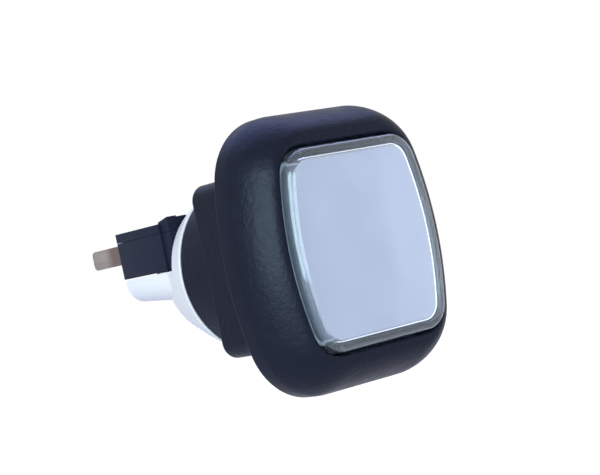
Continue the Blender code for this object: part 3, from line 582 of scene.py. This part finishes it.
def make_bezel():
    rings = []
    for i in range(BROW_STEPS + 1):
        a = math.pi / 2 * i / BROW_STEPS
        inward = BROW_INWARD * (1 - math.sin(a) ** (2 / BROW_POWER))
        back = BROW_DEEP * (1 - max(math.cos(a), 0.0) ** (2 / BROW_POWER))
        rings.append(bezel_ring(BEZEL_FRONT + back, inward))
    rings += [bezel_ring(-along, inward) for along, inward in rounding(REAR_EDGE)]
    bezel = loft("bezel_shell", rings)
    body = loft("body", [square_ring(BODY_WIDTH, BODY_CORNER, POCKET_FLOOR / 2)] + [
        square_ring(BODY_WIDTH - 2 * inward, BODY_CORNER - inward, BODY_LENGTH - along)
        for along, inward in rounding(BODY_EDGE)])
    barrel = loft("barrel", [circle_ring(BARREL_RADIUS, WEB_Y)] + [
        circle_ring(BARREL_RADIUS - inward, BARREL_END - along)
        for along, inward in rounding(BARREL_EDGE)])
    grow = LENS_MARGIN + LENS_GAP
    pocket = loft("pocket", [face_ring(POCKET_FLOOR, grow)] + [
        face_ring(BEZEL_FRONT + along, grow + flare) for along, flare in rounding(LIP_ROUND)
    ] + [face_ring(BEZEL_FRONT - OVERCUT, grow + LIP_ROUND)])
    cavity = loft("cavity", [square_ring(CAVITY_WIDTH, CAVITY_CORNER, POCKET_FLOOR - OVERCUT),
                             square_ring(CAVITY_WIDTH, CAVITY_CORNER, WEB_Y)])
    bore = rod("bore", BORE_RADIUS, (0, BODY_LENGTH, 0), (0, BARREL_END + OVERCUT, 0), ROUND)
    near, far = WEB_Y - OVERCUT, BODY_LENGTH + OVERCUT
    tube_hole = rod("tube_hole", TUBE_HOLE, (0, near, 0), (0, far, 0), HOLE_SIDES)
    middle = (base_low.z + CASE_TOP) / 2
    leg_hole = box("leg_hole", (LEG_X - LEG_HOLE, near, middle - LEG_HOLE),
                   (LEG_X + LEG_HOLE, far, middle + LEG_HOLE))
    hook_holes = [box("hook_hole", (left, near, -HOOK_HOLE), (right, far, HOOK_HOLE))
                  for left, right in ((-HOOK_FAR, -HOOK_NEAR), (HOOK_NEAR, HOOK_FAR))]
    join(bezel, body, barrel)
    cut(bezel, pocket, cavity, bore, tube_hole, leg_hole, *hook_holes)
    smooth(bezel.data, MOULDED_ANGLE)
    stand_for(bezel, "bezel_housing")


def make_lens():
    """Clear cap with its front and rim edges rounded inside and out."""
    front, rear = lens_low.y, lens_high.y
    inner = LENS_MARGIN - LENS_WALL
    rings = [face_ring(front + along, LENS_MARGIN - inward)
             for along, inward in reversed(rounding(LENS_EDGE))]
    rings += [face_ring(rear - RIM_EDGE, LENS_MARGIN), face_ring(rear, LENS_MARGIN - RIM_EDGE),
              face_ring(rear, inner + RIM_EDGE), face_ring(rear - RIM_EDGE, inner)]
    rings += [face_ring(front + LENS_FRONT + along, inner - inward)
              for along, inward in rounding(INNER_EDGE)]
    lens = loft("clear_lens", rings, LENS_ANGLE)
    stand_for(lens, "lens_cap")


def make_legend():
    legend = loft("legend_face", [face_ring(legend_low.y), face_ring(legend_high.y)])
    stand_for(legend, "legend_sheet")


def make_holder():
    """White ring, cone and block, with room for the plunger, the lever, the lamp and its contacts."""
    holder = loft("white_holder", [
        circle_ring(SPIGOT_RADIUS, holder_low.y), circle_ring(SPIGOT_RADIUS, HOLDER_RING),
        circle_ring(CONE_FRONT - CONE_EDGE, HOLDER_RING),
        circle_ring(CONE_FRONT, HOLDER_RING + CONE_EDGE),
        circle_ring(RING_REAR, RING_END), circle_ring(CONE_REAR, CONE_END)])
    block = loft("block", [block_ring(CONE_END - BLOCK_ROOT, BLOCK_BOTTOM_FRONT)] + [
        block_ring(BLOCK_END - along, BLOCK_BOTTOM_REAR + inward, inward)
        for along, inward in rounding(BLOCK_EDGE)])
    reach = CONE_FRONT + OVERCUT
    pocket = box("switch_pocket", (-reach, RING_END, BLOCK_TOP), (reach, BLOCK_END + OVERCUT, reach))
    bore = rod("holder_bore", SPIGOT_BORE, (0, holder_low.y - OVERCUT, 0), (0, HOLDER_FLOOR, 0), ROUND)
    lever_bore = rod("lever_bore", SPIGOT_BORE - FIT, (0, HOLDER_FLOOR - OVERCUT, 0),
                     (0, RING_END + OVERCUT, 0), ROUND)
    upper = box("upper", (-CONE_FRONT, HOLDER_FLOOR - 2 * OVERCUT, BLOCK_TOP + FIT),
                (CONE_FRONT, RING_END + 2 * OVERCUT, CONE_FRONT))
    combine(lever_bore, "INTERSECT", upper)
    contact_low, contact_high = span("lamp_contact_right")
    wedge_high = span("lamp_lead_right")[1]
    slot_low, slot_high = contact_low.z - FIT, contact_high.z + FIT
    slot_half = contact_high.x + FIT
    wedge_slot = box("wedge_slot", (-slot_half, HOLDER_FLOOR - OVERCUT, slot_low),
                     (slot_half, wedge_high.y + FIT, slot_high))
    join(holder, block)
    cut(holder, pocket, bore, lever_bore, wedge_slot)
    grow = FIT - SLOT_STEP
    for sign in (-1, 1):
        near, far = sorted((sign * contact_low.x, sign * contact_high.x))
        cut(holder, box("contact_slot", (near - grow, HOLDER_FLOOR + OVERCUT, slot_low + SLOT_STEP),
                        (far + grow, BLOCK_END + OVERCUT, slot_high - SLOT_STEP)))
        join(holder, rod("peg", PEG_RADIUS, (sign * PEG_X, PEG_Y, BLOCK_TOP - ROOT),
                         (sign * PEG_X, PEG_Y, CASE_TOP - 2 * FIT), PEG_SIDES, FIT))
    smooth(holder.data, MOULDED_ANGLE)
    stand_for(holder, "rear_holder")


def refine(node, edge):
    """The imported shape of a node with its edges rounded, for looks."""
    source = frame["nodes"][node]
    bm = bmesh.new()
    bm.from_mesh(source.data)
    bm.transform(source.matrix_world)
    bmesh.ops.remove_doubles(bm, verts=bm.verts, dist=WELD)
    bmesh.ops.dissolve_limit(bm, angle_limit=math.radians(FLAT_ANGLE), verts=bm.verts, edges=bm.edges)
    sharp = [e for e in bm.edges if e.is_manifold and e.calc_face_angle() > math.radians(RIM_ANGLE)]
    round_edges(bm, sharp, edge, clamp=True)
    bmesh.ops.remove_doubles(bm, verts=bm.verts, dist=WELD_FINE)
    piece = finish_mesh(node + "_fine", bm)
    stand_for(piece, node)


def make_spring():
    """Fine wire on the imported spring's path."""
    low, high = span("return_spring")
    front, rear = low.y + SPRING_WIRE / 2, high.y - SPRING_WIRE / 2
    open_turns = SPRING_TURNS - 2 * CLOSED_TURNS
    open_pitch = (rear - front - 2 * CLOSED_TURNS * CLOSED_PITCH) / open_turns
    rings = []
    for i in range(int(SPRING_TURNS * SPRING_STEPS) + 1):
        turn = i / SPRING_STEPS
        opened = min(max(turn - CLOSED_TURNS, 0.0), open_turns)
        y = front + opened * open_pitch + (turn - opened) * CLOSED_PITCH
        a = 2 * math.pi * turn
        out = Vector((math.cos(a), 0.0, math.sin(a)))
        ring = []
        for k in range(WIRE_ROUND):
            b = 2 * math.pi * k / WIRE_ROUND
            side = out * (SPRING_RADIUS + SPRING_WIRE / 2 * math.cos(b))
            ring.append((side.x, y + SPRING_WIRE / 2 * math.sin(b), side.z))
        rings.append(ring)
    spring = loft("coil_spring", rings)
    stand_for(spring, "return_spring")
    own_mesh(spring)


# Camera, light and floor


def make_camera():
    """The photo's viewpoint."""
    azimuth, elevation, roll = map(math.radians, CAMERA_TURN)
    towards = Vector((-math.sin(azimuth) * math.cos(elevation),
                      math.cos(azimuth) * math.cos(elevation), -math.sin(elevation)))
    level_right = Vector((math.cos(azimuth), math.sin(azimuth), 0.0))
    level_up = level_right.cross(towards)
    right = level_right * math.cos(roll) - level_up * math.sin(roll)
    up = level_right * math.sin(roll) + level_up * math.cos(roll)
    matrix = Matrix((right, up, -towards)).transposed().to_4x4()
    matrix.translation = Vector(CAMERA_PLACE) * MM
    data = bpy.data.cameras.new("camera")
    data.lens = CAMERA_LENS
    data.sensor_width = CAMERA_SENSOR
    data.clip_start = CAMERA_CLIP
    camera = bpy.data.objects.new("camera", data)
    bpy.context.scene.collection.objects.link(camera)
    camera.matrix_world = matrix
    bpy.context.scene.camera = camera


def make_light(name, kind, energy, place):
    """Lamp at a place in metres, aimed at the origin."""
    data = bpy.data.lights.new(name, kind)
    data.energy = energy
    light = bpy.data.objects.new(name, data)
    bpy.context.scene.collection.objects.link(light)
    light.location = place
    light.rotation_euler = (-Vector(place)).to_track_quat("-Z", "Y").to_euler()
    return data


def make_softbox(name, energy, place, width, height, colour):
    data = make_light(name, "AREA", energy, place)
    data.color = colour
    data.shape = "RECTANGLE"
    data.size = width
    data.size_y = height


def background_rays(tree):
    """1 for rays that see the background: from the camera, in reflections and through clear pieces."""
    light_path = add_node(tree, "ShaderNodeLightPath")
    total = light_path.outputs["Is Camera Ray"]
    for kind in ("Is Glossy Ray", "Is Transmission Ray"):
        total = calculate(tree, "MAXIMUM", total, light_path.outputs[kind])
    return total


def make_world():
    """White where it is seen, softer as a light."""
    world = bpy.data.worlds.new("studio")
    world.use_nodes = True
    bpy.context.scene.world = world
    tree = world.node_tree
    tree.nodes.clear()
    soft = add_node(tree, "ShaderNodeBackground", {"Color": WORLD_COLOUR, "Strength": WORLD_LIGHT})
    white = add_node(tree, "ShaderNodeBackground", {"Color": WHITE, "Strength": 1.0})
    surface = mix_shaders(tree, background_rays(tree), soft, white)
    add_node(tree, "ShaderNodeOutputWorld", {"Surface": surface})


def make_floor():
    """Pale floor, white where it is seen but for the object's shadow."""
    bm = bmesh.new()
    bmesh.ops.create_grid(bm, x_segments=2, y_segments=2, size=FLOOR_SIZE / 2)
    floor = finish_mesh("floor", bm)
    floor.location.z = FLOOR_Z
    mat, tree = new_material("floor white")
    tree.nodes.clear()
    pale = add_node(tree, "ShaderNodeBsdfDiffuse", {"Color": FLOOR_PALE})
    part = add_node(tree, "ShaderNodeBsdfDiffuse", {"Color": FLOOR_PART})
    glow = add_node(tree, "ShaderNodeEmission", {"Strength": FLOOR_GLOW})
    seen = add_node(tree, "ShaderNodeAddShader", {0: part.outputs[0], 1: glow.outputs[0]})
    surface = mix_shaders(tree, background_rays(tree), pale, seen)
    add_node(tree, "ShaderNodeOutputMaterial", {"Surface": surface})
    floor.data.materials.append(mat)


def make_studio():
    make_world()
    make_floor()
    make_softbox("front softbox", energy=5.8, place=(-0.495, -0.32, 0.085), width=0.54, height=0.48,
                 colour=(0.82, 1.04, 1.02))
    make_softbox("top softbox", energy=2.5, place=(0.12, 0.17, 0.42), width=0.6, height=0.42,
                 colour=(0.38, 0.47, 1.0))
    make_softbox("right softbox", energy=0.4, place=(0.36, -0.16, 0.02), width=0.3, height=0.4,
                 colour=(0.84, 0.97, 1.15))
    back = make_light("back", "SUN", energy=0.25, place=(-0.6, 0.7, 0.35))
    back.angle = math.radians(BACK_ANGLE)


for node, look in NODE_LOOKS.items():
    dress(frame["nodes"][node], look)

make_camera()
make_bezel()
make_lens()
make_legend()
make_holder()
make_spring()
refine("switch_base", CASE_EDGE)
refine("switch_cover", CASE_EDGE)
for node in ("terminal_common", "terminal_open", "terminal_closed", "lamp_contact_left",
             "lamp_contact_right", "switch_lever"):
    refine(node, METAL_EDGE)
make_studio()

bpy.context.scene.view_settings.view_transform = "Standard"
